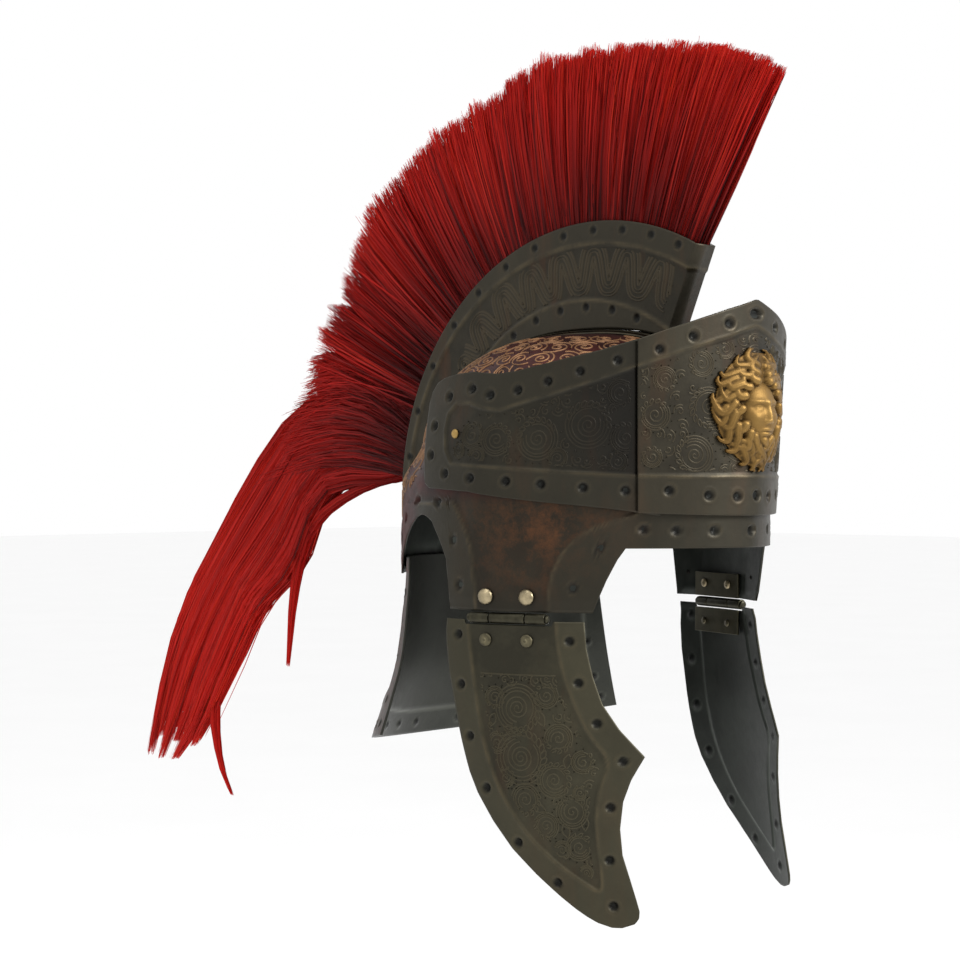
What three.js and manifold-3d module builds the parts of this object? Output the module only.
// Crested Roman helmet: sheet-steel bowl with brow bands, hinged cheek guards, a neck guard
// and a hair brush standing in a riveted steel crest box.
// Millimetres, +Z up, front of the helmet along -Y, the wearer's left along +X.
// The origin is the crown seat: the highest point of the inside of the bowl.
import * as THREE from 'three';
import { mergeVertices } from 'three/addons/utils/BufferGeometryUtils.js';
import Module from 'manifold-3d';

const wasm = await Module();
wasm.setup();

// Bowl
const BOWL_HALF_WIDTH = 100;
const BOWL_FRONT = 111;
const BOWL_REAR = 114;
const CROWN_RISE = 77;
const SHEET = 1.2;
const GAP = 0.3;
const VISOR_DROP = 118;
const TAB_DROP = 152;
const TAB_FRONT = 62.5;
const TAB_REAR = 17;
const TAB_FLARE = 13;
const ARCH_RUN = 67;
const ARCH_DROP = 100.7;
const NAPE_DROP = 136;
const NAPE_LEAN = 11;
const NAPE_LEAN_FOOT = 86;
const NAPE_LEAN_TOP = 60;

// Brow bands
const BAND_STAND_OFF = 0.5;
const BORDER_WIDTH = 14.5;
const BORDER_RISE = 0.8;
const BROW_DROP = 101;
const BROW_PEAK = 14.5;
const BAND_REAR_DROP = 87;
const BAND_REAR_TOP = 24;
const SEAM_TURN = 39.5;
const SEAM_LAP = 6;
const BAND_END_TURN = 108;
const TOP_FLARE = 0.34;
const REAR_LEAN = 6;

// Crest box and its saddle
const CREST_RADIUS = 156;
const CREST_FORWARD = 7;
const CREST_CENTRE_DROP = 91;
const CREST_WIDTH = 17.6;
const CREST_FRONT_REACH = 81;
const CREST_FRONT_LEAN = 22.5;
const CREST_END_DROP = 82;
const CREST_RIM = 10.5;
const CREST_FOOT_RADIUS = 112;
const SADDLE_WIDTH = 26;
const SADDLE_THICKNESS = 2;
const SADDLE_LEAD = 8;

// Hair
const HAIR_LENGTH = 99;
const HAIR_SPREAD = 14;
const HAIR_LOCKS = 18;
const HAIR_ROOT_DEPTH = 24;
const HAIR_FRONT_TURN = 117.5;
const HAIR_REAR_TURN = 19;
const HAIR_SPLAY = 5;
const TAIL_REACH = 275;
const TAIL_DROP = 285;
const TAIL_LOCKS = 5;
const TAIL_THICKNESS = 15;
const STRAND_THICKNESS = 8;

// Neck guard
const NECK_TOP_DROP = 126;
const NECK_DROP = 225;
const NECK_SAG = 12.4;
const NECK_FLARE = 19;
const NECK_HALF_TURN_TOP = 54;
const NECK_HALF_TURN_FOOT = 60;

// Cheek guards and their hinges
const GUARD_DROP = 158.5;
const GUARD_REACH = 50;
const GUARD_CUP = 10.2;
const GUARD_TWIST = 13.7;
const GUARD_TUCK = 6.9;
const GUARD_SET_OUT = 2.3;
const HINGE_TURN = 74.5;
const HINGE_LENGTH = 44;
const KNUCKLE_RADIUS = 3;
const PIN_RADIUS = 1.3;
const LEAF_HEIGHT = 18;
const LEAF_THICKNESS = 1.2;
const KNUCKLE_GAP = 0.6;
const RIVET_SPACING = 24;
const RIVET_DROP = 11.5;
const UPPER_RIVET_RADIUS = 4.25;
const LOWER_RIVET_RADIUS = 3.5;
const BAND_RIVET_RADIUS = 2.6;
const SHANK_RADIUS = 1.5;
const HANG_CLEARANCE = 0.6;

// Face boss
const BOSS_WIDTH = 60;
const BOSS_HEIGHT = 64;
const BOSS_DROP = 44.7;
const BOSS_RELIEF = 9;
const BOSS_LOCKS = 13;

// Plan and dome exponents: 2 is an ellipse, less is more pointed
const BROW_POINT = 1.6;
const NAPE_ROUND = 2.12;
const DOME_FULLNESS = 2.44;
const TURN_STEP = 10;
const CREST_FACET = 7.5;

// Front edge of the ear tab, from the visor rim down: shares of its height and of its run back
const TAB_EDGE = [
  { drop: 0, back: 0 },
  { drop: 0.17, back: 0.24 },
  { drop: 0.62, back: 0.7 },
  { drop: 1, back: 1 },
];

// Ear arch: along in shares of its run, drop in shares of the height of the leg it stands on
const ARCH_FRONT_LEG = [
  { along: 0, drop: 1 },
  { along: 0.04, drop: 0.47 },
  { along: 0.11, drop: 0.3 },
  { along: 0.24, drop: 0.07 },
  { along: 0.4, drop: 0 },
];
const ARCH_REAR_LEG = [
  { along: 0.62, drop: 0.19 },
  { along: 0.73, drop: 0.35 },
  { along: 0.88, drop: 0.66 },
  { along: 1, drop: 1 },
];

// Side band, seam to rear end: turn and the two edges as shares of the band's own sizes
const BAND_ROWS = [
  { turn: -0.08, top: 0.05, foot: 0 },
  { turn: 0.014, top: 0.17, foot: 0.09 },
  { turn: 0.03, top: 0.2, foot: 0.11 },
  { turn: 0.1, top: 0.36, foot: 0.19 },
  { turn: 0.22, top: 0.6, foot: 0.35 },
  { turn: 0.36, top: 0.83, foot: 0.5 },
  { turn: 0.47, top: 0.97, foot: 0.63 },
  { turn: 0.6, top: 1.04, foot: 0.76 },
  { turn: 0.72, top: 1.01, foot: 0.88 },
  { turn: 0.82, top: 1.01, foot: 0.96 },
  { turn: 0.9, top: 1.1, foot: 1 },
  { turn: 0.96, top: 1.24, foot: 1.01 },
  { turn: 1, top: 1.55, foot: 1.1 },
];

// Brow plate: turn as a share of the seam's turn, edges as shares of the fall to the seam
const BROW_ROWS = [
  { turn: 0, top: 0, foot: 0 },
  { turn: 0.17, top: 0.15, foot: 0.02 },
  { turn: 0.34, top: 0.29, foot: 0.1 },
  { turn: 0.55, top: 0.51, foot: 0.3 },
  { turn: 0.78, top: 0.75, foot: 0.65 },
  { turn: 1, top: 1, foot: 1 },
];
const BROW_SHOULDER = 23.3;
const BROW_FOOT_RISE = 1.7;

// Cheek guard outline: drop in shares of its height, edges in shares of GUARD_REACH
const GUARD_ROWS = [
  { drop: 0, rear: -0.754, front: 0.832 },
  { drop: 0.1, rear: -0.75, front: 0.866 },
  { drop: 0.19, rear: -0.72, front: 0.94 },
  { drop: 0.277, rear: -0.664, front: 1.042 },
  { drop: 0.36, rear: -0.612, front: 1.216 },
  { drop: 0.448, rear: -0.54, front: 1.466 },
  { drop: 0.524, rear: -0.464, front: 1.35 },
  { drop: 0.593, rear: -0.356, front: 1.276 },
  { drop: 0.681, rear: -0.156, front: 1.254 },
  { drop: 0.767, rear: 0.086, front: 1.286 },
  { drop: 0.845, rear: 0.384, front: 1.368 },
  { drop: 0.909, rear: 0.65, front: 1.432 },
  { drop: 0.946, rear: 0.824, front: 1.468 },
  { drop: 0.981, rear: 1.01, front: 1.438 },
  { drop: 1, rear: 1.2, front: 1.3 },
];

// Neck guard flare: drop down the guard and flare outward, both in shares
const NECK_ROWS = [
  { drop: 0, flare: 0 },
  { drop: 0.1, flare: 0.01 },
  { drop: 0.31, flare: 0.115 },
  { drop: 0.56, flare: 0.29 },
  { drop: 0.82, flare: 0.68 },
  { drop: 1, flare: 1 },
];

// Hair tail: back and foot in shares of its reach behind the crest box, top and low edge of its drop
const TAIL_ROWS = [
  { back: 0.138, foot: 0.06, top: 0.102, low: 0.26 },
  { back: 0.307, foot: 0.138, top: 0.058, low: 0.26 },
  { back: 0.4, foot: 0.23, top: 0.1, low: 0.305 },
  { back: 0.484, foot: 0.315, top: 0.205, low: 0.36 },
  { back: 0.585, foot: 0.384, top: 0.312, low: 0.474 },
  { back: 0.782, foot: 0.6, top: 0.533, low: 0.698 },
  { back: 0.867, foot: 0.693, top: 0.663, low: 0.825 },
  { back: 0.928, foot: 0.762, top: 0.793, low: 0.916 },
  { back: 0.993, foot: 0.87, top: 0.985, low: 1 },
];

// The two thin strands that hang clear of the tail, in the same shares, with their width
const STRAND_ROWS = [
  [
    { back: 0.361, drop: 0.4, width: 1 },
    { back: 0.418, drop: 0.52, width: 1 },
    { back: 0.434, drop: 0.62, width: 0.9 },
    { back: 0.434, drop: 0.71, width: 0.6 },
  ],
  [
    { back: 0.708, drop: 0.76, width: 1.2 },
    { back: 0.72, drop: 0.87, width: 1.1 },
    { back: 0.703, drop: 0.97, width: 1 },
    { back: 0.656, drop: 1.05, width: 0.6 },
  ],
];

const STEEL = new THREE.MeshStandardMaterial({ color: 0x4b463a, roughness: 0.5, metalness: 0.8 });
const CROWN = new THREE.MeshStandardMaterial({ color: 0x5a3226, roughness: 0.5, metalness: 0.7 });
const DARK_STEEL = new THREE.MeshStandardMaterial({ color: 0x2e3133, roughness: 0.45, metalness: 0.8 });
const HINGE_STEEL = new THREE.MeshStandardMaterial({ color: 0x5d5a4a, roughness: 0.45, metalness: 0.8 });
const RIVET_STEEL = new THREE.MeshStandardMaterial({ color: 0x9b9680, roughness: 0.35, metalness: 0.9 });
const BRASS = new THREE.MeshStandardMaterial({ color: 0xb18a3a, roughness: 0.4, metalness: 0.9 });
const HAIR = new THREE.MeshStandardMaterial({ color: 0xb0201c, roughness: 0.6, metalness: 0 });

// General shape tools

const radians = THREE.MathUtils.degToRad;

function mix(from, to, share) {
  return from + (to - from) * share;
}

function solidOf(geometry) {
  const bare = geometry.clone();
  bare.deleteAttribute('normal');
  bare.deleteAttribute('uv');
  const merged = mergeVertices(bare, 1e-5);
  return new wasm.Manifold(new wasm.Mesh({
    numProp: 3,
    vertProperties: new Float32Array(merged.attributes.position.array),
    triVerts: new Uint32Array(merged.index.array),
  }));
}

function geometryOf(solid) {
  const mesh = solid.getMesh();
  const geometry = new THREE.BufferGeometry();
  geometry.setAttribute('position', new THREE.BufferAttribute(new Float32Array(mesh.vertProperties), 3));
  geometry.setIndex(new THREE.BufferAttribute(new Uint32Array(mesh.triVerts), 1));
  geometry.computeVertexNormals();
  return geometry;
}

// Signed volume and centroid of a closed geometry
function massOf(geometry) {
  const position = geometry.attributes.position;
  const corners = [new THREE.Vector3(), new THREE.Vector3(), new THREE.Vector3()];
  const centroid = new THREE.Vector3();
  let volume = 0;
  for (let i = 0; i < geometry.index.count; i += 3) {
    corners.forEach((corner, k) => corner.fromBufferAttribute(position, geometry.index.getX(i + k)));
    const [a, b, c] = corners;
    const part = a.dot(b.clone().cross(c)) / 6;
    volume += part;
    centroid.add(a.clone().add(b).add(c).multiplyScalar(part / 4));
  }
  return { volume, centroid: centroid.divideScalar(volume) };
}

// Geometry from points and faces, turned so that its faces point out
function closedGeometry(points, faces) {
  const geometry = new THREE.BufferGeometry();
  geometry.setFromPoints(points);
  geometry.setIndex(faces.flat());
  if (massOf(geometry).volume < 0) {
    geometry.setIndex(faces.map(([a, b, c]) => [a, c, b]).flat());
  }
  geometry.computeVertexNormals();
  return geometry;
}

// Closed body through rings of equal count, each end closed by a fan
function loft(rings, start = null, end = null) {
  const count = rings[0].length;
  const points = rings.flat();
  const faces = [];
  for (let i = 0; i + 1 < rings.length; i += 1) {
    for (let j = 0; j < count; j += 1) {
      const a = i * count + j;
      const b = i * count + (j + 1) % count;
      faces.push([a, b, b + count], [a, b + count, a + count]);
    }
  }
  const centre = (ring) => ring.reduce((sum, p) => sum.add(p), new THREE.Vector3()).divideScalar(count);
  const first = points.push(start || centre(rings[0])) - 1;
  const last = points.push(end || centre(rings[rings.length - 1])) - 1;
  const base = (rings.length - 1) * count;
  for (let j = 0; j < count; j += 1) {
    faces.push([first, (j + 1) % count, j], [last, base + j, base + (j + 1) % count]);
  }
  return closedGeometry(points, faces);
}

// Closed plate between an outer and an inner grid of points
function plate(outer, inner) {
  const rows = outer.length;
  const columns = outer[0].length;
  const points = [...outer.flat(), ...inner.flat()];
  const side = rows * columns;
  const at = (layer, i, j) => layer * side + i * columns + j;
  const faces = [];
  const quad = (a, b, c, d) => faces.push([a, b, c], [a, c, d]);
  for (let i = 0; i + 1 < rows; i += 1) {
    for (let j = 0; j + 1 < columns; j += 1) {
      quad(at(0, i, j), at(0, i, j + 1), at(0, i + 1, j + 1), at(0, i + 1, j));
      quad(at(1, i, j), at(1, i + 1, j), at(1, i + 1, j + 1), at(1, i, j + 1));
    }
  }
  for (let j = 0; j + 1 < columns; j += 1) {
    quad(at(0, 0, j + 1), at(0, 0, j), at(1, 0, j), at(1, 0, j + 1));
    quad(at(0, rows - 1, j), at(0, rows - 1, j + 1), at(1, rows - 1, j + 1), at(1, rows - 1, j));
  }
  for (let i = 0; i + 1 < rows; i += 1) {
    quad(at(0, i, 0), at(0, i + 1, 0), at(1, i + 1, 0), at(1, i, 0));
    quad(at(0, i + 1, columns - 1), at(0, i, columns - 1), at(1, i, columns - 1), at(1, i + 1, columns - 1));
  }
  return closedGeometry(points, faces);
}

// Prism of a side-view outline of [y, z] points, centred on the helmet's mid-plane
function sideSlab(outline, width) {
  const shape = new THREE.Shape(outline.map(([y, z]) => new THREE.Vector2(y, z)));
  const geometry = new THREE.ExtrudeGeometry(shape, { depth: width, bevelEnabled: false });
  geometry.translate(0, 0, -width / 2);
  geometry.rotateY(Math.PI / 2);
  geometry.rotateX(Math.PI / 2);
  return solidOf(geometry);
}

// Round bar along a direction, from a point
function bar(radius, from, direction, length, sides = 6) {
  const geometry = new THREE.CylinderGeometry(radius, radius, length, sides);
  geometry.translate(0, length / 2, 0);
  const turn = new THREE.Quaternion().setFromUnitVectors(new THREE.Vector3(0, 1, 0), direction);
  geometry.applyQuaternion(turn);
  geometry.translate(from.x, from.y, from.z);
  return solidOf(geometry);
}

function mirrored(geometry) {
  const copy = geometry.clone();
  copy.applyMatrix4(new THREE.Matrix4().makeScale(-1, 1, 1));
  const index = Array.from(copy.index.array);
  for (let i = 0; i < index.length; i += 3) {
    [index[i + 1], index[i + 2]] = [index[i + 2], index[i + 1]];
  }
  copy.setIndex(index);
  copy.computeVertexNormals();
  return copy;
}

// Plan of the helmet: a point at a turn from the front centre, on the bowl grown by some amount
function planPoint(turn, growth = 0, point = BROW_POINT) {
  const across = Math.sin(radians(turn));
  const ahead = Math.cos(radians(turn));
  const power = 2 / (ahead > 0 ? point : NAPE_ROUND);
  const reach = ahead > 0 ? BOWL_FRONT : BOWL_REAR;
  return {
    x: Math.sign(across) * Math.abs(across) ** power * (BOWL_HALF_WIDTH + growth),
    y: -Math.sign(ahead) * Math.abs(ahead) ** power * (reach + growth),
  };
}

// Bowl

// The bowl's rear shoulders step in above the nape
function napeLean(turn, z) {
  const behind = THREE.MathUtils.smoothstep(180 - Math.abs(180 - turn), 100, 130);
  return NAPE_LEAN * behind * THREE.MathUtils.smoothstep(z, -NAPE_LEAN_FOOT, -NAPE_LEAN_TOP);
}

function dome(growth) {
  const rings = [];
  const addRing = (share, z) => {
    const ring = [];
    for (let turn = 0; turn < 360; turn += TURN_STEP) {
      const { x, y } = planPoint(turn, growth - napeLean(turn, z));
      ring.push(new THREE.Vector3(x * share, y * share, z));
    }
    rings.push(ring);
  };
  addRing(1, -TAB_DROP - BOWL_HALF_WIDTH / 4);
  addRing(1, -NAPE_LEAN_FOOT);
  for (const rise of [0, 5, 13, 26, 42, 59, 77]) {
    const share = Math.cos(radians(rise)) ** (2 / DOME_FULLNESS);
    const height = Math.sin(radians(rise)) ** (2 / DOME_FULLNESS);
    addRing(share, -CROWN_RISE + (CROWN_RISE + SHEET + growth) * height);
  }
  return solidOf(loft(rings, null, new THREE.Vector3(0, 0, SHEET + growth)));
}

function bowlFootOutline() {
  const visorBack = -TAB_FRONT - TAB_FLARE;
  const tabHeight = TAB_DROP - VISOR_DROP;
  const far = BOWL_FRONT + BOWL_REAR;
  const below = -TAB_DROP - BOWL_HALF_WIDTH;
  const outline = [[-far, below], [-far, -VISOR_DROP]];
  for (const row of TAB_EDGE) {
    outline.push([visorBack + row.back * TAB_FLARE, -VISOR_DROP - row.drop * tabHeight]);
  }
  for (const row of ARCH_FRONT_LEG) {
    outline.push([TAB_REAR + row.along * ARCH_RUN, -ARCH_DROP - row.drop * (TAB_DROP - ARCH_DROP)]);
  }
  for (const row of ARCH_REAR_LEG) {
    outline.push([TAB_REAR + row.along * ARCH_RUN, -ARCH_DROP - row.drop * (NAPE_DROP - ARCH_DROP)]);
  }
  outline.push([far, -NAPE_DROP], [far, below]);
  return outline;
}

const bowlShell = dome(0)
  .subtract(dome(-SHEET))
  .subtract(sideSlab(bowlFootOutline(), 4 * BOWL_HALF_WIDTH));

// Brow bands: the sheet follows the bowl's plan, flares above the brow and leans in behind

const bandOuter = BAND_STAND_OFF + SHEET;
const browOuter = bandOuter + BORDER_RISE + 2 * GAP + SHEET;
const shoulderZ = BROW_PEAK - BROW_SHOULDER;

function bandPoint(turn, z, growth) {
  const height = THREE.MathUtils.clamp((z + BROW_DROP) / (BROW_PEAK + BROW_DROP), 0, 1.2);
  const behind = THREE.MathUtils.smoothstep(Math.abs(turn), SEAM_TURN + 10, 90);
  const lean = REAR_LEAN * behind * Math.max(0, (height - 0.25) / 0.42) ** 1.5;
  const { x, y } = planPoint(turn, growth - lean, BROW_POINT + TOP_FLARE * height);
  return new THREE.Vector3(x, y, z);
}

// Heights of a band's rows: the edges, the two sides of each border's step, and the middle
function bandHeights(foot, top) {
  const border = Math.min(BORDER_WIDTH, (top - foot) * 0.4);
  const step = border * 0.1;
  return [
    { z: foot, proud: 1 },
    { z: foot + border, proud: 1 },
    { z: foot + border + step, proud: 0 },
    { z: (foot + top) / 2, proud: 0 },
    { z: top - border - step, proud: 0 },
    { z: top - border, proud: 1 },
    { z: top, proud: 1 },
  ];
}

function bandSheet(rows, growth) {
  const outer = [];
  const inner = [];
  for (const row of rows) {
    const level = bandHeights(row.foot, row.top);
    const lift = (h) => Math.max(row.leastProud, Math.min(h.proud, row.mostProud)) * BORDER_RISE;
    outer.push(level.map((h) => bandPoint(row.turn, h.z, growth + lift(h))));
    inner.push(level.map((h) => bandPoint(row.turn, h.z, growth + lift(h) - SHEET)));
  }
  return plate(outer, inner);
}

function sideBandRows() {
  return BAND_ROWS.map((row) => ({
    turn: mix(SEAM_TURN, BAND_END_TURN, row.turn),
    foot: -mix(BROW_DROP, BAND_REAR_DROP, row.foot),
    top: mix(shoulderZ + 3, -BAND_REAR_TOP, row.top),
    leastProud: row.turn > 0.85 ? 1 : 0,
    mostProud: row.turn < 0.02 ? 0 : 1,
  }));
}

function browPlateRows() {
  const half = BROW_ROWS.map((row) => ({
    turn: row.turn * (SEAM_TURN + 0.5),
    foot: -BROW_DROP + row.foot * BROW_FOOT_RISE,
    top: BROW_PEAK - row.top * BROW_SHOULDER,
    leastProud: 0,
    mostProud: 1,
  }));
  const other = half.slice(1).reverse().map((row) => ({ ...row, turn: -row.turn }));
  return [...other, ...half];
}

// Filled body behind the brow plate's outer face, used to shape what is seated on the plate
function browFiller(growth) {
  const turns = browPlateRows().map((row) => row.turn);
  const levels = [-BROW_DROP - BORDER_WIDTH, -BROW_DROP, -BROW_DROP / 2, 0, BROW_PEAK + BORDER_WIDTH];
  const rings = levels.map((z) => {
    const ring = turns.map((turn) => bandPoint(turn, z, growth));
    ring.push(new THREE.Vector3(0, 0, z));
    return ring;
  });
  return solidOf(loft(rings));
}

// Crest box: side-view outline between the arc and the dome, open along the arc

function crestArcPoint(turn, radius) {
  return [
    -CREST_FORWARD + Math.cos(radians(turn)) * radius,
    -CREST_CENTRE_DROP + Math.sin(radians(turn)) * radius,
  ];
}

// Side view of the box, inset from its front plate and foot, out to an arc
function crestProfile(inset, radius, width, lead = 0) {
  const lean = Math.tan(radians(CREST_FRONT_LEAN));
  const cornerTurn = Math.acos((CREST_FORWARD - CREST_FRONT_REACH) / CREST_RADIUS);
  const cornerZ = -CREST_CENTRE_DROP + Math.sin(cornerTurn) * CREST_RADIUS;
  const frontY = -CREST_FRONT_REACH + (inset - lead) / Math.cos(radians(CREST_FRONT_LEAN));
  const foot = -CREST_END_DROP + inset;
  const top = 2 * CREST_RADIUS;
  const face = [
    [frontY + (cornerZ - foot) * lean, foot],
    [top, foot],
    [top, top],
    [frontY + (cornerZ - top) * lean, top],
  ];
  return sideSlab(crestSector(CREST_RADIUS / 4, radius, 0, 180), width).intersect(sideSlab(face, width));
}

function crestSector(innerRadius, outerRadius, fromTurn, toTurn) {
  const outline = [];
  const steps = Math.max(2, Math.round((toTurn - fromTurn) / CREST_FACET));
  for (let i = 0; i <= steps; i += 1) {
    outline.push(crestArcPoint(mix(fromTurn, toTurn, i / steps), outerRadius));
  }
  for (let i = steps; i >= 0; i -= 1) {
    outline.push(crestArcPoint(mix(fromTurn, toTurn, i / steps), innerRadius));
  }
  return outline;
}

const saddleBase = GAP;
const boxBase = saddleBase + SADDLE_THICKNESS + GAP;
const channelBase = boxBase + SHEET;
const channelWidth = CREST_WIDTH - 2 * SHEET - 2 * BORDER_RISE;

function saddleSolid() {
  return dome(saddleBase + SADDLE_THICKNESS)
    .subtract(dome(saddleBase))
    .intersect(crestProfile(0, CREST_RADIUS, SADDLE_WIDTH, SADDLE_LEAD));
}

function crestBoxSolid() {
  const bodyWidth = CREST_WIDTH - 2 * BORDER_RISE;
  const rim = crestSector(CREST_RADIUS - CREST_RIM, CREST_RADIUS + 1, 0, 180);
  const foot = crestSector(CREST_FOOT_RADIUS / 2, CREST_FOOT_RADIUS, 0, 180);
  const borders = sideSlab(rim, CREST_WIDTH)
    .add(sideSlab(foot, CREST_WIDTH))
    .intersect(crestProfile(0, CREST_RADIUS, CREST_WIDTH));
  const channel = crestProfile(SHEET, CREST_RADIUS + SHEET * 4, channelWidth)
    .subtract(dome(channelBase));
  return crestProfile(0, CREST_RADIUS, bodyWidth)
    .add(borders)
    .subtract(channel)
    .subtract(dome(boxBase));
}

// Hair: tapered locks fused to a backing that fills the floor of the crest box

function hairBacking(fromTurn, toTurn) {
  const top = CREST_RADIUS - HAIR_ROOT_DEPTH * 0.6;
  return sideSlab(crestSector(CREST_RADIUS / 4, top, fromTurn, toTurn), channelWidth - 2 * GAP)
    .intersect(crestProfile(SHEET + GAP, CREST_RADIUS, CREST_WIDTH))
    .subtract(dome(channelBase + GAP));
}

// Space that hair may fill: the channel of the box, and everything above the arc
function hairRoom() {
  return crestProfile(SHEET + GAP, CREST_RADIUS + 2 * SHEET, channelWidth - 2 * GAP)
    .subtract(dome(channelBase + GAP))
    .add(sideSlab(crestSector(CREST_RADIUS + GAP, 4 * CREST_RADIUS, -90, 180), 2 * BOWL_HALF_WIDTH));
}

// One lock through stations of centre [y, z], half width along the sheet of hair and half thickness
function lock(stations, x = 0) {
  const rings = stations.map((station, i) => {
    const before = stations[Math.max(0, i - 1)];
    const after = stations[Math.min(stations.length - 1, i + 1)];
    const along = new THREE.Vector2(after.y - before.y, after.z - before.z).normalize();
    const corner = (across, thick) => new THREE.Vector3(
      x + thick * station.thick,
      station.y + along.y * across * station.wide,
      station.z - along.x * across * station.wide,
    );
    return [corner(-1, -0.6), corner(0, -1), corner(1, -0.6), corner(1, 0.6), corner(0, 1), corner(-1, 0.6)];
  });
  return solidOf(loft(rings));
}

function brushSolid() {
  const step = (HAIR_FRONT_TURN - HAIR_REAR_TURN) / HAIR_LOCKS;
  const rootHalf = channelWidth / 2 - GAP;
  const tipRadius = CREST_RADIUS + HAIR_LENGTH;
  let brush = hairBacking(HAIR_REAR_TURN - step / 2, 180);
  for (let i = 0; i < HAIR_LOCKS; i += 1) {
    const turn = HAIR_REAR_TURN + (i + 0.5) * step;
    const share = (i + 0.5) / HAIR_LOCKS;
    const splay = HAIR_SPLAY * Math.sin(Math.PI * share) + share ** 8 * HAIR_SPLAY / 2;
    const ragged = 1 - 0.012 * (i % 3);
    const levels = [
      { radius: CREST_RADIUS - HAIR_ROOT_DEPTH, thick: rootHalf, wide: 0.6, tip: 0 },
      { radius: CREST_RADIUS + GAP, thick: rootHalf, wide: 0.6, tip: 0 },
      { radius: CREST_RADIUS + HAIR_LENGTH * 0.5, thick: mix(rootHalf, HAIR_SPREAD, 0.6), wide: 0.6, tip: 0.5 },
      { radius: tipRadius * ragged - HAIR_LENGTH * 0.08, thick: HAIR_SPREAD, wide: 0.6, tip: 0.95 },
      { radius: tipRadius * ragged, thick: HAIR_SPREAD * 0.8, wide: 0.3, tip: 1 },
    ];
    const stations = levels.map((level) => {
      const [y, z] = crestArcPoint(turn + splay * level.tip, level.radius);
      return { y, z, thick: level.thick, wide: level.wide * level.radius * radians(step) };
    });
    brush = brush.add(lock(stations));
  }
  return brush.intersect(hairRoom());
}

function tailSolid() {
  const step = (HAIR_FRONT_TURN - HAIR_REAR_TURN) / HAIR_LOCKS;
  const topTurn = HAIR_REAR_TURN - step / 2 - 0.3;
  const rootHalf = channelWidth / 2 - GAP;
  const [rootY] = crestArcPoint(0, CREST_RADIUS);
  let tail = hairBacking(0, topTurn);
  for (let k = 0; k < TAIL_LOCKS; k += 1) {
    const share = (k + 0.5) / TAIL_LOCKS;
    const footTurn = THREE.MathUtils.radToDeg(Math.asin((CREST_CENTRE_DROP - CREST_END_DROP) / CREST_RADIUS));
    const inset = (topTurn - footTurn) / TAIL_LOCKS;
    const rootTurn = mix(topTurn - inset, footTurn + inset, share);
    const stations = [-HAIR_ROOT_DEPTH * 0.7, GAP].map((out) => {
      const [y, z] = crestArcPoint(rootTurn, CREST_RADIUS + out);
      return { y, z, thick: rootHalf, wide: radians(inset) * CREST_RADIUS * 0.55 };
    });
    const reach = 1 - 0.03 * ((k * 2) % 3);
    TAIL_ROWS.forEach((row, i) => {
      const span = Math.hypot((row.back - row.foot) * TAIL_REACH, (row.low - row.top) * TAIL_DROP);
      const last = i === TAIL_ROWS.length - 1;
      const drop = mix(row.top, row.low, share) * (last ? reach : 1);
      stations.push({
        y: rootY + mix(row.back, row.foot, share) * TAIL_REACH,
        z: -drop * TAIL_DROP,
        thick: TAIL_THICKNESS / 2 * (last ? 0.5 : 1),
        wide: span / TAIL_LOCKS * (last ? 0.35 : 0.62),
      });
    });
    tail = tail.add(lock(stations, (k % 2 - 0.5) * 2));
  }
  for (const rows of STRAND_ROWS) {
    tail = tail.add(lock(rows.map((row) => ({
      y: rootY + row.back * TAIL_REACH,
      z: -row.drop * TAIL_DROP,
      thick: row.width * STRAND_THICKNESS / 2,
      wide: row.width * STRAND_THICKNESS / 2,
    }))));
  }
  return tail.intersect(hairRoom());
}

// Neck guard: sits inside the nape of the bowl and flares below it

function neckGuard() {
  const outer = [];
  const inner = [];
  const columns = 14;
  const facetSag = BOWL_REAR * (1 - Math.cos(radians(TURN_STEP / 2)));
  const base = -SHEET - GAP * 1.5 - facetSag;
  for (const row of NECK_ROWS) {
    const half = mix(NECK_HALF_TURN_TOP, NECK_HALF_TURN_FOOT, row.drop);
    const growth = base + row.flare * NECK_FLARE;
    const line = (extra) => {
      const points = [];
      for (let j = 0; j <= columns; j += 1) {
        const side = mix(-1, 1, j / columns);
        const sag = NECK_SAG * (1 - side * side) * row.drop;
        const { x, y } = planPoint(180 + side * half, growth + extra);
        points.push(new THREE.Vector3(x, y, -mix(NECK_TOP_DROP, NECK_DROP, row.drop) - sag));
      }
      return points;
    };
    outer.push(line(0));
    inner.push(line(-SHEET));
  }
  return plate(outer, inner);
}

// Face boss: a calm mask in a ring of wild locks, cast in one with its backing

function ellipsoid(centre, size, detail = 10) {
  const geometry = new THREE.SphereGeometry(1, detail, Math.round(detail * 0.7));
  geometry.scale(size.x, size.y, size.z);
  geometry.translate(centre.x, centre.y, centre.z);
  return solidOf(geometry);
}

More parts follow.
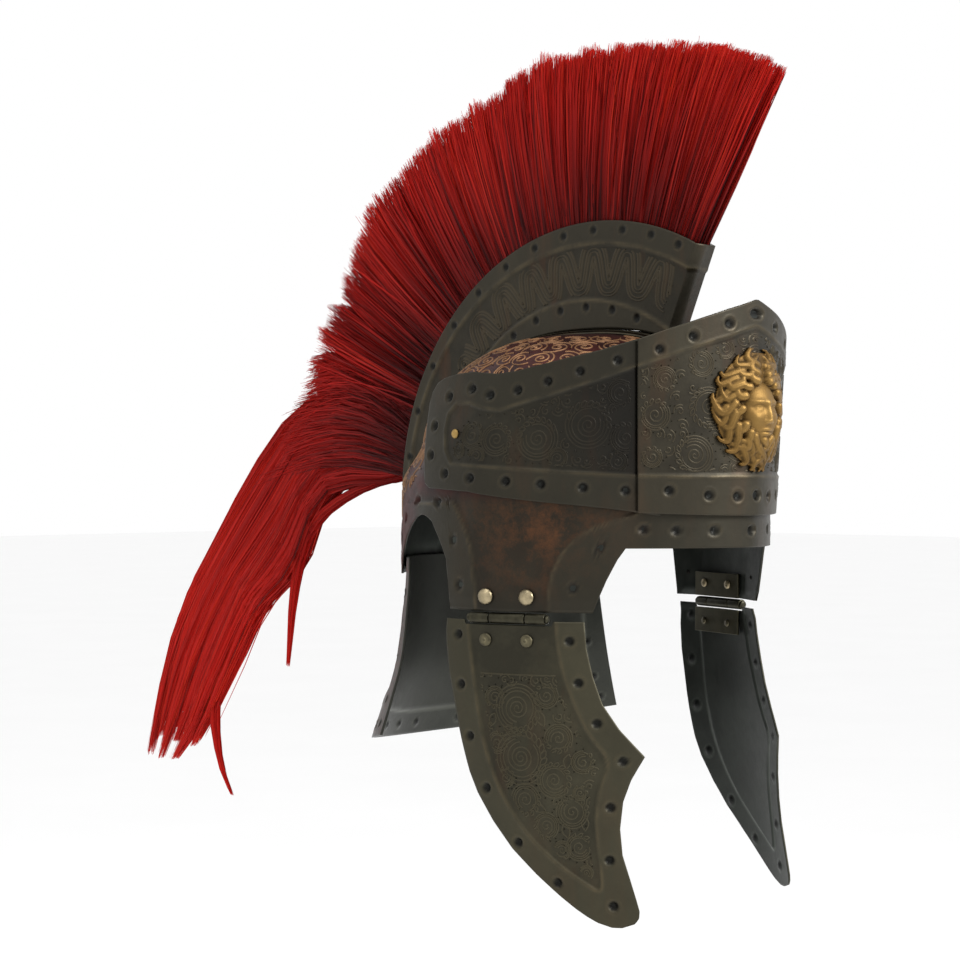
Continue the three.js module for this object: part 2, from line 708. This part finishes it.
function bossSolid() {
  const plateY = -(BOWL_FRONT + browOuter);
  const unit = BOSS_HEIGHT / 64;
  const at = (x, out, z) => new THREE.Vector3(x * unit, plateY - out * BOSS_RELIEF / 9, -BOSS_DROP + z * unit);
  const size = (x, y, z) => new THREE.Vector3(x * unit, y * BOSS_RELIEF / 9, z * unit);
  let boss = ellipsoid(at(0, -8, 0), new THREE.Vector3(BOSS_WIDTH * 0.42, 13, BOSS_HEIGHT * 0.44), 12);
  const features = [
    { x: 0, out: -3, z: -3, w: 15, d: 10, h: 20 },
    { x: 0, out: 5.6, z: -3, w: 2.3, d: 4, h: 6 },
    { x: 0, out: 6.4, z: -7.4, w: 3.4, d: 3, h: 2.2 },
    { x: 5.6, out: 4.4, z: 4.2, w: 5, d: 2.2, h: 1.6 },
    { x: -5.6, out: 4.4, z: 4.2, w: 5, d: 2.2, h: 1.6 },
    { x: 0, out: 4.6, z: -12.8, w: 4.4, d: 2.4, h: 1.7 },
    { x: 0, out: 3.2, z: -19, w: 4.6, d: 3.4, h: 3.4 },
  ];
  for (const f of features) {
    boss = boss.add(ellipsoid(at(f.x, f.out, f.z), size(f.w, f.d, f.h), f.w > 10 ? 10 : 6));
  }
  for (let i = 0; i < BOSS_LOCKS; i += 1) {
    const turn = radians(360 * (i + 0.5) / BOSS_LOCKS);
    const sway = (i % 2 ? 1 : -1) * 0.12;
    const length = i % 2 ? 1 : 0.92;
    const rings = [0.55, 0.8, 0.97].map((share, level) => {
      const bend = turn + sway * level * 0.6;
      const x = Math.sin(bend) * BOSS_WIDTH / 2 * share * length;
      const z = Math.cos(bend) * BOSS_HEIGHT / 2 * share * length;
      const girth = [5, 5.8, 2.4][level] * unit;
      const out = [3, 1.4, -0.6][level] - (x / 30) ** 2 * 6;
      const ring = [];
      for (let j = 0; j < 5; j += 1) {
        const around = radians(72 * j);
        const aside = Math.cos(around) * girth;
        ring.push(at(0, out, 0).add(new THREE.Vector3(
          x + Math.cos(bend) * aside,
          -Math.sin(around) * girth,
          z - Math.sin(bend) * aside,
        )));
      }
      return ring;
    });
    boss = boss.add(solidOf(loft(rings)));
  }
  return boss.subtract(browFiller(browOuter - BORDER_RISE + GAP));
}

// Hinge frame on the bowl: a chord of the plan, x outward, y forward and z up on the right side

function hingeFrame() {
  const ends = [-1, 1].map((side) => {
    let low = 0;
    let high = 60;
    const middle = planPoint(HINGE_TURN);
    for (let i = 0; i < 40; i += 1) {
      const swing = (low + high) / 2;
      const end = planPoint(HINGE_TURN + side * swing);
      const reach = Math.hypot(end.x - middle.x, end.y - middle.y);
      if (reach < HINGE_LENGTH / 2) {
        low = swing;
      } else {
        high = swing;
      }
    }
    return planPoint(HINGE_TURN + side * low);
  });
  const centre = new THREE.Vector2((ends[0].x + ends[1].x) / 2, (ends[0].y + ends[1].y) / 2);
  const toeIn = Math.atan2(Math.abs(ends[1].x - ends[0].x), Math.abs(ends[1].y - ends[0].y));
  const middle = planPoint(HINGE_TURN);
  const bulge = Math.hypot(middle.x - centre.x, middle.y - centre.y);
  return { centre, toeIn, bulge, drop: TAB_DROP + KNUCKLE_GAP + KNUCKLE_RADIUS };
}

const hinge = hingeFrame();
const leafInner = -KNUCKLE_RADIUS;
const leafOuter = leafInner + LEAF_THICKNESS;
const FORWARD = new THREE.Vector3(0, 1, 0);
const OUTWARD = new THREE.Vector3(1, 0, 0);

// Outward set of the guard's field at a place forward of the pin's middle and below the pin
function guardSet(forward, drop) {
  const ahead = forward / GUARD_REACH;
  const down = drop / GUARD_DROP;
  const inward = GUARD_CUP * ahead * ahead - GUARD_TWIST * ahead * down
    - GUARD_TUCK * down * (1 - down * 0.88) + GUARD_CUP * 0.14 * ahead;
  return GUARD_SET_OUT - inward;
}

function guardSheet() {
  const outer = [];
  const inner = [];
  for (const row of GUARD_ROWS) {
    const rear = row.rear * GUARD_REACH;
    const front = row.front * GUARD_REACH;
    const drop = row.drop * GUARD_DROP;
    const border = Math.min(BORDER_WIDTH, (front - rear) * 0.32);
    const step = border * 0.1;
    const low = row.drop > 0.9;
    const stations = [
      { y: rear, proud: 1 },
      { y: rear + border, proud: 1 },
      { y: rear + border + step, proud: low ? 1 : 0 },
      { y: mix(rear, front, 0.42), proud: low ? 1 : 0 },
      { y: mix(rear, front, 0.58), proud: low ? 1 : 0 },
      { y: front - border - step, proud: low ? 1 : 0 },
      { y: front - border, proud: 1 },
      { y: front, proud: 1 },
    ];
    const point = (s, back) => new THREE.Vector3(
      guardSet(s.y, drop) + s.proud * BORDER_RISE - back,
      s.y,
      -drop,
    );
    outer.push(stations.map((s) => point(s, 0)));
    inner.push(stations.map((s) => point(s, SHEET)));
  }
  return plate(outer, inner);
}

function boxBetween(low, high) {
  const geometry = new THREE.BoxGeometry(high.x - low.x, high.y - low.y, high.z - low.z);
  geometry.translate((low.x + high.x) / 2, (low.y + high.y) / 2, (low.z + high.z) / 2);
  return solidOf(geometry);
}

// Three knuckles share the barrel: the middle one belongs to the lower leaf
function knuckleSpans(upper) {
  const end = HINGE_LENGTH / 2;
  const inner = HINGE_LENGTH * 0.24;
  if (upper) {
    return [[-end, -inner - GAP], [inner + GAP, end]];
  }
  return [[-inner + GAP, inner - GAP]];
}

function hingeLeaf(upper) {
  const sign = upper ? 1 : -1;
  const clear = KNUCKLE_RADIUS + HANG_CLEARANCE;
  const end = HINGE_LENGTH / 2;
  let leaf = boxBetween(
    new THREE.Vector3(leafInner, -end, Math.min(sign * clear, sign * LEAF_HEIGHT)),
    new THREE.Vector3(leafOuter, end, Math.max(sign * clear, sign * LEAF_HEIGHT)),
  );
  for (const [from, to] of knuckleSpans(upper)) {
    leaf = leaf
      .add(bar(KNUCKLE_RADIUS, new THREE.Vector3(0, from, 0), FORWARD, to - from, 12))
      .add(boxBetween(
        new THREE.Vector3(leafInner, from, Math.min(0, sign * (clear + 1))),
        new THREE.Vector3(leafOuter, to, Math.max(0, sign * (clear + 1))),
      ));
  }
  return leaf.subtract(bar(PIN_RADIUS + GAP, new THREE.Vector3(0, -end - 1, 0), FORWARD, HINGE_LENGTH + 2));
}

function hingePin() {
  const end = HINGE_LENGTH / 2;
  const head = KNUCKLE_RADIUS * 0.5;
  const pin = bar(PIN_RADIUS, new THREE.Vector3(0, -end - GAP, 0), FORWARD, HINGE_LENGTH + 2 * GAP);
  return pin
    .add(bar(KNUCKLE_RADIUS * 0.75, new THREE.Vector3(0, -end - GAP - head, 0), FORWARD, head))
    .add(bar(KNUCKLE_RADIUS * 0.75, new THREE.Vector3(0, end + GAP, 0), FORWARD, head));
}

// Domed rivet along an outward direction: a head on the outer face and a peened foot inside
function rivet(radius, headSeat, footSeat) {
  const dome = new THREE.LatheGeometry([
    new THREE.Vector2(0, 0),
    new THREE.Vector2(radius, 0),
    new THREE.Vector2(radius * 0.9, radius * 0.26),
    new THREE.Vector2(radius * 0.55, radius * 0.52),
    new THREE.Vector2(0, radius * 0.62),
  ], 8);
  dome.rotateZ(-Math.PI / 2);
  dome.translate(headSeat, 0, 0);
  const foot = bar(radius * 0.62, new THREE.Vector3(footSeat - radius * 0.25, 0, 0), OUTWARD, radius * 0.25);
  const shank = bar(SHANK_RADIUS, new THREE.Vector3(footSeat - radius * 0.1, 0, 0), OUTWARD,
    headSeat - footSeat + radius * 0.3);
  return shank.add(foot).add(solidOf(dome));
}

function rivetPlaces(drop) {
  return [-0.5, 0.5].map((side) => ({ y: side * RIVET_SPACING, z: drop }));
}

function holeAt(place, radius = SHANK_RADIUS + GAP) {
  const reach = GUARD_REACH / 2;
  return bar(radius, new THREE.Vector3(-reach, place.y, place.z), OUTWARD, 2 * reach);
}

// Assembly

const helmet = new THREE.Group();

function addPiece(parent, name, geometry, material) {
  const mesh = new THREE.Mesh(geometry, material);
  mesh.name = name;
  parent.add(mesh);
  return mesh;
}

const bandSolids = solidOf(bandSheet(sideBandRows(), bandOuter));

// Rivet that ties a side band to the bowl near the band's rear end
const BAND_RIVET_SHARE = 0.81;
const BAND_RIVET_DROP = 57;

function bandRivetFrame() {
  const turn = mix(SEAM_TURN, BAND_END_TURN, BAND_RIVET_SHARE);
  const seat = bandPoint(turn, -BAND_RIVET_DROP, bandOuter);
  const ahead = bandPoint(turn - 2, -BAND_RIVET_DROP, bandOuter);
  const behind = bandPoint(turn + 2, -BAND_RIVET_DROP, bandOuter);
  const outward = new THREE.Vector3(ahead.y - behind.y, behind.x - ahead.x, 0).normalize();
  if (outward.x < 0) {
    outward.negate();
  }
  return { seat, heading: Math.atan2(outward.y, outward.x) };
}

const bandRivet = bandRivetFrame();
const bandRivetThrow = BAND_STAND_OFF + 2 * SHEET + 3;
const bandHoleGeometry = geometryOf(
  bar(SHANK_RADIUS + GAP, new THREE.Vector3(-4 * bandRivetThrow, 0, 0), OUTWARD, 8 * bandRivetThrow),
);
bandHoleGeometry.rotateZ(bandRivet.heading);
bandHoleGeometry.translate(bandRivet.seat.x, bandRivet.seat.y, bandRivet.seat.z);
const bandHole = solidOf(bandHoleGeometry);
const bandHoleMirror = solidOf(mirrored(bandHoleGeometry));

function hingeMatrix(side) {
  const matrix = new THREE.Matrix4().makeRotationZ(Math.PI - side * hinge.toeIn);
  matrix.setPosition(side * hinge.centre.x, hinge.centre.y, -hinge.drop);
  return matrix;
}

let bowl = bowlShell.subtract(bandHole).subtract(bandHoleMirror);
for (const side of [-1, 1]) {
  for (const place of rivetPlaces(RIVET_DROP)) {
    const hole = geometryOf(holeAt(place, SHANK_RADIUS + GAP));
    const placed = side < 0 ? hole : mirrored(hole);
    placed.applyMatrix4(hingeMatrix(side));
    bowl = bowl.subtract(solidOf(placed));
  }
}
addPiece(helmet, 'skull', geometryOf(bowl), CROWN);
addPiece(helmet, 'crest_saddle', geometryOf(saddleSolid()), STEEL);
addPiece(helmet, 'crest_box', geometryOf(crestBoxSolid()), STEEL);
addPiece(helmet, 'crest_brush', geometryOf(brushSolid()), HAIR);
addPiece(helmet, 'crest_tail', geometryOf(tailSolid()), HAIR);
addPiece(helmet, 'brow_plate', bandSheet(browPlateRows(), browOuter - BORDER_RISE), STEEL);
addPiece(helmet, 'face_boss', geometryOf(bossSolid()), BRASS);
addPiece(helmet, 'neck_guard', neckGuard(), DARK_STEEL);

for (const side of [-1, 1]) {
  const hand = side < 0 ? 'right' : 'left';
  const handed = (geometry) => (side < 0 ? geometry : mirrored(geometry));
  const leftBand = geometryOf(bandSolids.subtract(bandHole));
  addPiece(helmet, `brow_band_${hand}`, side < 0 ? mirrored(leftBand) : leftBand, STEEL);

  const seatGap = GAP + BORDER_RISE * 0.3;
  const bandRivetGeometry = geometryOf(rivet(BAND_RIVET_RADIUS, seatGap, -bandRivetThrow));
  bandRivetGeometry.rotateZ(bandRivet.heading);
  bandRivetGeometry.translate(bandRivet.seat.x, bandRivet.seat.y, bandRivet.seat.z);
  addPiece(helmet, `band_rivet_${hand}`, side < 0 ? mirrored(bandRivetGeometry) : bandRivetGeometry, BRASS);

  // Fixed half of the hinge
  const mount = new THREE.Group();
  mount.position.set(side * hinge.centre.x, hinge.centre.y, -hinge.drop);
  mount.rotation.z = Math.PI - side * hinge.toeIn;
  helmet.add(mount);
  let upperLeaf = hingeLeaf(true);
  for (const place of rivetPlaces(RIVET_DROP)) {
    upperLeaf = upperLeaf.subtract(holeAt(place));
  }
  addPiece(mount, `hinge_upper_${hand}`, handed(geometryOf(upperLeaf)), HINGE_STEEL);
  addPiece(mount, `hinge_pin_${hand}`, handed(geometryOf(hingePin())), HINGE_STEEL);
  rivetPlaces(RIVET_DROP).forEach((place, i) => {
    const seat = hinge.bulge * (1 - (place.y / (HINGE_LENGTH / 2)) ** 2) + GAP * 3;
    const geometry = geometryOf(rivet(UPPER_RIVET_RADIUS, seat, leafInner - GAP));
    const mesh = addPiece(mount, `tab_rivet_${hand}_${i ? 'front' : 'rear'}`, handed(geometry), RIVET_STEEL);
    mesh.position.set(0, place.y, place.z);
  });

  // Swinging half: the guard hangs with its centre of mass under the pin
  const swing = new THREE.Group();
  mount.add(swing);
  const clear = KNUCKLE_RADIUS + HANG_CLEARANCE;
  let guard = solidOf(guardSheet()).subtract(boxBetween(
    new THREE.Vector3(-4 * clear, -HINGE_LENGTH / 2 - clear, -clear),
    new THREE.Vector3(4 * clear, HINGE_LENGTH / 2 + clear, clear),
  ));
  let lowerLeaf = hingeLeaf(false);
  for (const place of rivetPlaces(-RIVET_DROP)) {
    guard = guard.subtract(holeAt(place));
    lowerLeaf = lowerLeaf.subtract(holeAt(place));
  }
  const swinging = [
    addPiece(swing, `cheek_guard_${hand}`, handed(geometryOf(guard)), STEEL),
    addPiece(swing, `hinge_lower_${hand}`, handed(geometryOf(lowerLeaf)), HINGE_STEEL),
  ];
  rivetPlaces(-RIVET_DROP).forEach((place, i) => {
    const seat = guardSet(place.y, RIVET_DROP) + GAP * 2;
    const geometry = geometryOf(rivet(LOWER_RIVET_RADIUS, seat, leafInner - GAP));
    const mesh = addPiece(swing, `guard_rivet_${hand}_${i ? 'front' : 'rear'}`, handed(geometry), RIVET_STEEL);
    mesh.position.set(0, place.y, place.z);
    swinging.push(mesh);
  });
  const balance = new THREE.Vector3();
  let weight = 0;
  for (const mesh of swinging) {
    const { volume, centroid } = massOf(mesh.geometry);
    balance.add(centroid.add(mesh.position).multiplyScalar(volume));
    weight += volume;
  }
  balance.divideScalar(weight);
  swing.rotation.y = Math.atan2(balance.x, -balance.z);
}

export default helmet;
